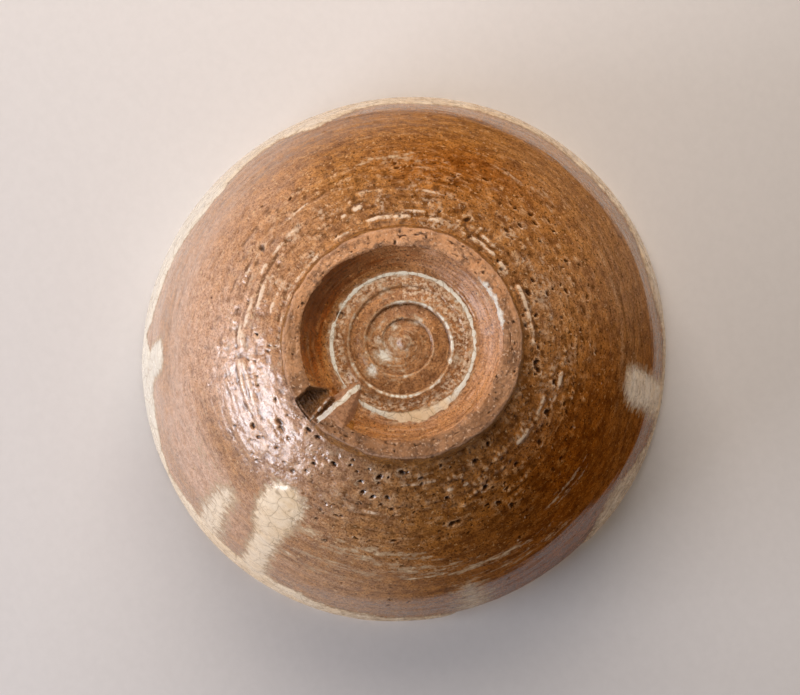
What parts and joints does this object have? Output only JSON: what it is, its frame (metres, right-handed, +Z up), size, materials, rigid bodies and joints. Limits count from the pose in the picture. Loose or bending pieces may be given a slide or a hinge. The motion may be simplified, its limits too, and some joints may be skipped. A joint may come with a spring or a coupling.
{
  "type": "tea bowl",
  "caption": "Thrown stoneware tea bowl with amber glaze outside, white crackle glaze inside and running from the lip, on a notched ring foot with a turned spiral.",
  "frame": {"origin": "centre of the resting face of the foot ring", "axes": "+Z up out of the mouth, -Y towards the side with the notch in the foot and the long run of glaze"},
  "size_m": [0.125, 0.125, 0.072],
  "materials": {
    "clay": "fired stoneware under glaze",
    "bare_clay": "bare fired stoneware, matte",
    "amber_glaze": "thin glossy amber glaze",
    "white_glaze": "cream white crackle glaze"
  },
  "bodies": {
    "root": {"bowl_body": "clay", "foot_ring": "bare_clay", "turned_boss": "amber_glaze", "spiral_ridge": "amber_glaze", "amber_glaze": "amber_glaze", "well_glaze": "amber_glaze", "pooled_glaze": "white_glaze", "white_lining": "white_glaze", "lip_glaze": "white_glaze", "long_run": "white_glaze", "short_run": "white_glaze", "right_run": "white_glaze", "back_run": "white_glaze", "back_lobe": "white_glaze", "side_lobe": "white_glaze", "left_lobe": "white_glaze"}
  },
  "joints": []
}
